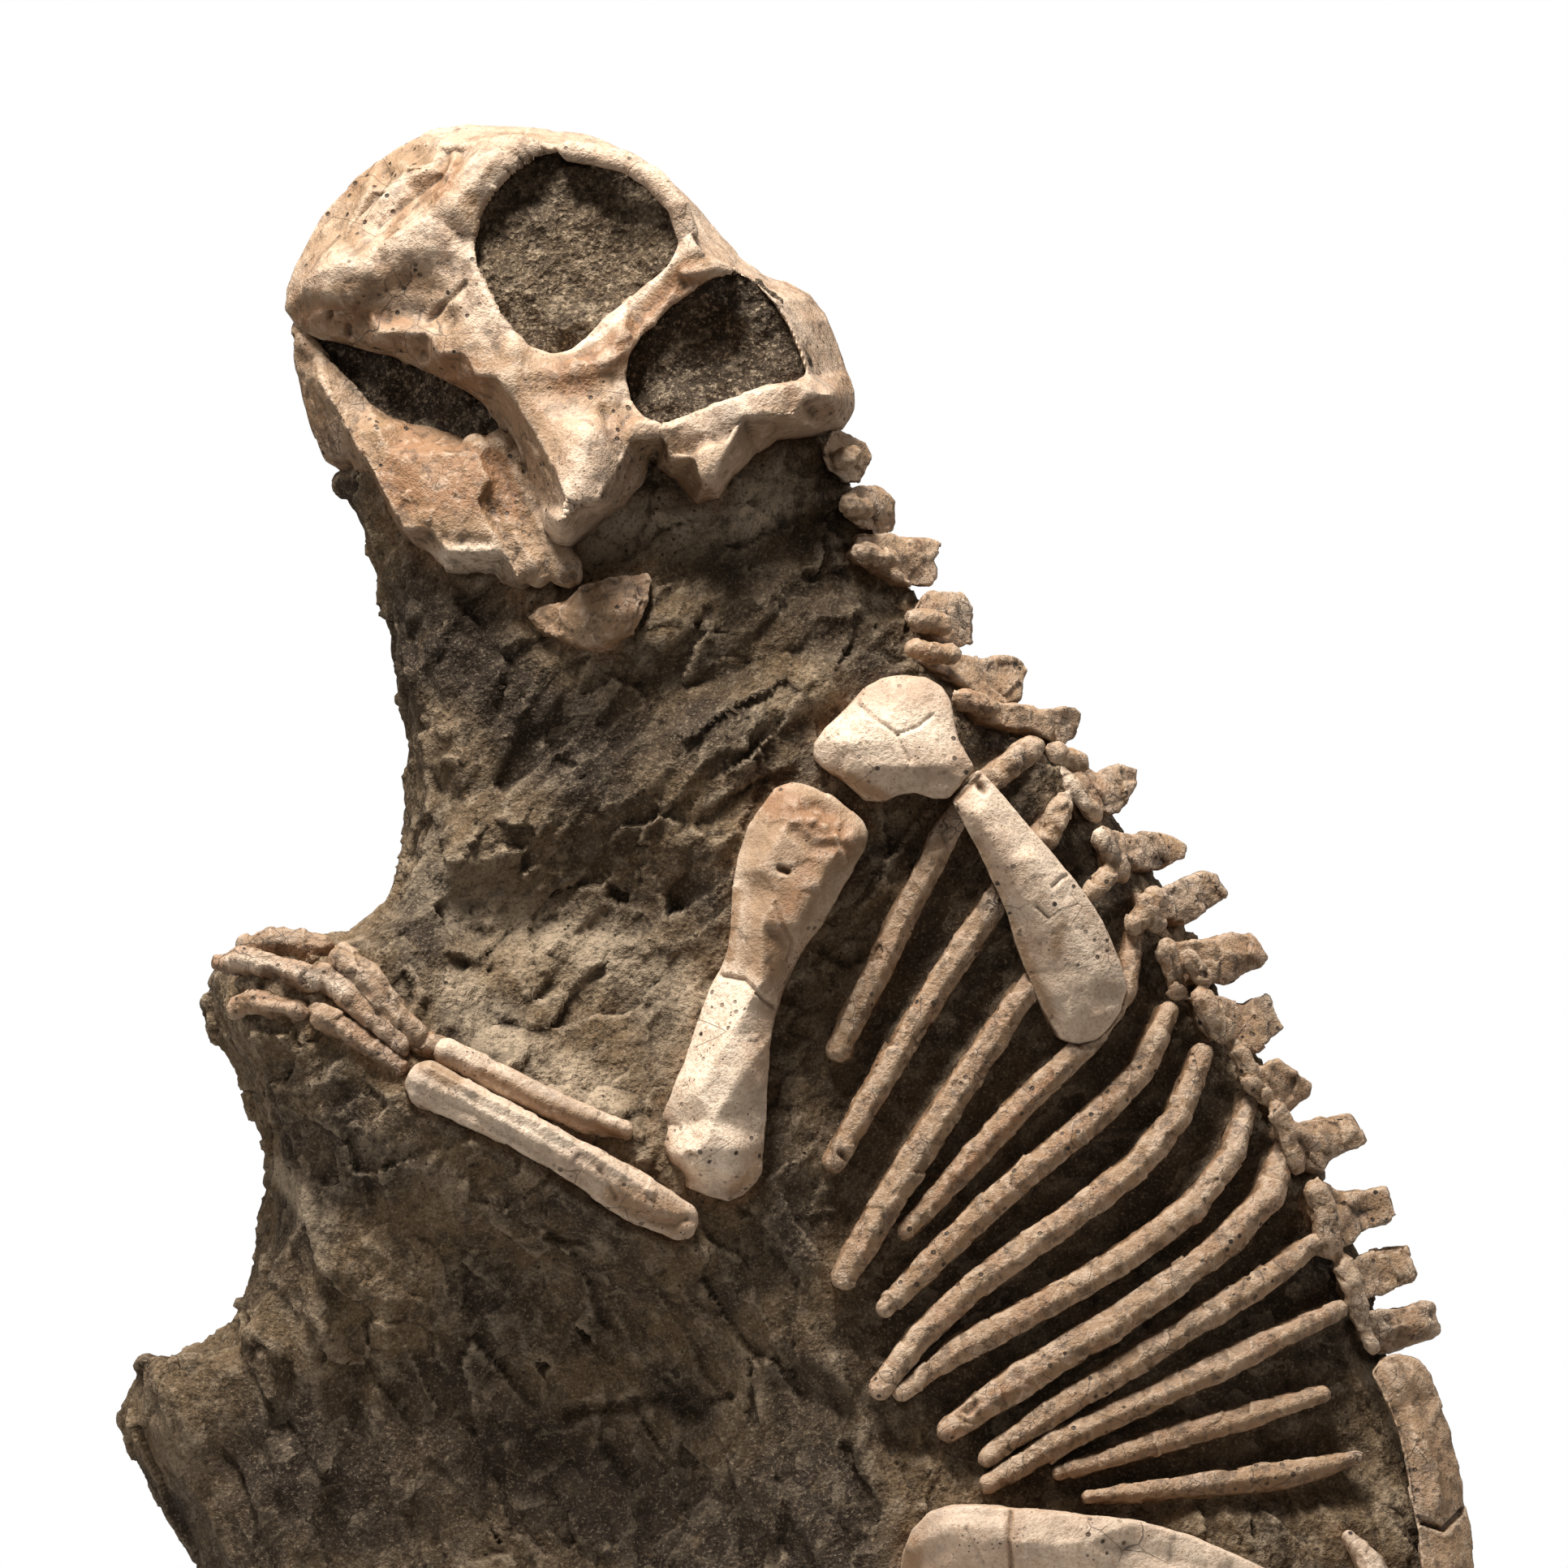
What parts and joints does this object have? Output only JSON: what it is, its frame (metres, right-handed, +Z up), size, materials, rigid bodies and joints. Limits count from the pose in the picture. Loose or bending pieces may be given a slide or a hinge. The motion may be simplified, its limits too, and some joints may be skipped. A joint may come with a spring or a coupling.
{
  "type": "fossil psittacosaurus skeleton",
  "caption": "Beaked dinosaur skeleton in side view, skull, ribs, arm, leg and spine standing out of a carved brown rock block with a flat base.",
  "frame": {"origin": "centre of the base, on the plane that the cut rock rests on", "axes": "+Z up from the base to the crown of the skull, -Y towards the viewer who sees the prepared face, +X to the viewer's right, away from the beak"},
  "size_m": [0.3784, 0.1375, 0.505],
  "materials": {
    "pale_bone": "matt fossil bone, smooth and pale, fine cracks and pits",
    "tan_bone": "matt fossil bone, stained tan by iron, rough",
    "brown_rock": "matt tuffaceous sandstone, chiselled"
  },
  "bodies": {
    "root": {"skull": "pale_bone", "coracoid": "pale_bone", "scapula": "pale_bone", "humerus": "pale_bone", "ulna": "pale_bone", "radius": "pale_bone", "pubis": "pale_bone", "femur": "pale_bone", "tibia": "pale_bone", "lower_jaw": "tan_bone", "throat_bone": "tan_bone", "metacarpal_1": "tan_bone", "metacarpal_2": "tan_bone", "metacarpal_3": "tan_bone", "finger_1": "tan_bone", "finger_2": "tan_bone", "finger_3": "tan_bone", "ilium": "tan_bone", "fibula": "tan_bone", "foot_ray_1": "tan_bone", "foot_ray_2": "tan_bone", "foot_ray_3": "tan_bone", "neck_vertebra_1": "tan_bone", "neck_vertebra_2": "tan_bone", "neck_vertebra_3": "tan_bone", "neck_vertebra_4": "tan_bone", "neck_vertebra_5": "tan_bone", "neck_vertebra_6": "tan_bone", "back_vertebra_1": "tan_bone", "back_vertebra_2": "tan_bone", "back_vertebra_3": "tan_bone", "back_vertebra_4": "tan_bone", "back_vertebra_5": "tan_bone", "back_vertebra_6": "tan_bone", "back_vertebra_7": "tan_bone", "back_vertebra_8": "tan_bone", "back_vertebra_9": "tan_bone", "back_vertebra_10": "tan_bone", "tail_vertebra_1": "tan_bone", "tail_vertebra_2": "tan_bone", "tail_vertebra_3": "tan_bone", "tail_vertebra_4": "tan_bone", "rib_1": "tan_bone", "rib_2": "tan_bone", "rib_3": "tan_bone", "rib_4": "tan_bone", "rib_5": "tan_bone", "rib_6": "tan_bone", "rib_7": "tan_bone", "rib_8": "tan_bone", "rib_9": "tan_bone", "rib_10": "tan_bone", "rib_11": "tan_bone", "rib_12": "tan_bone", "rock": "brown_rock", "eye_socket_rock": "brown_rock", "temple_rock": "brown_rock", "mouth_rock": "brown_rock"}
  },
  "joints": []
}
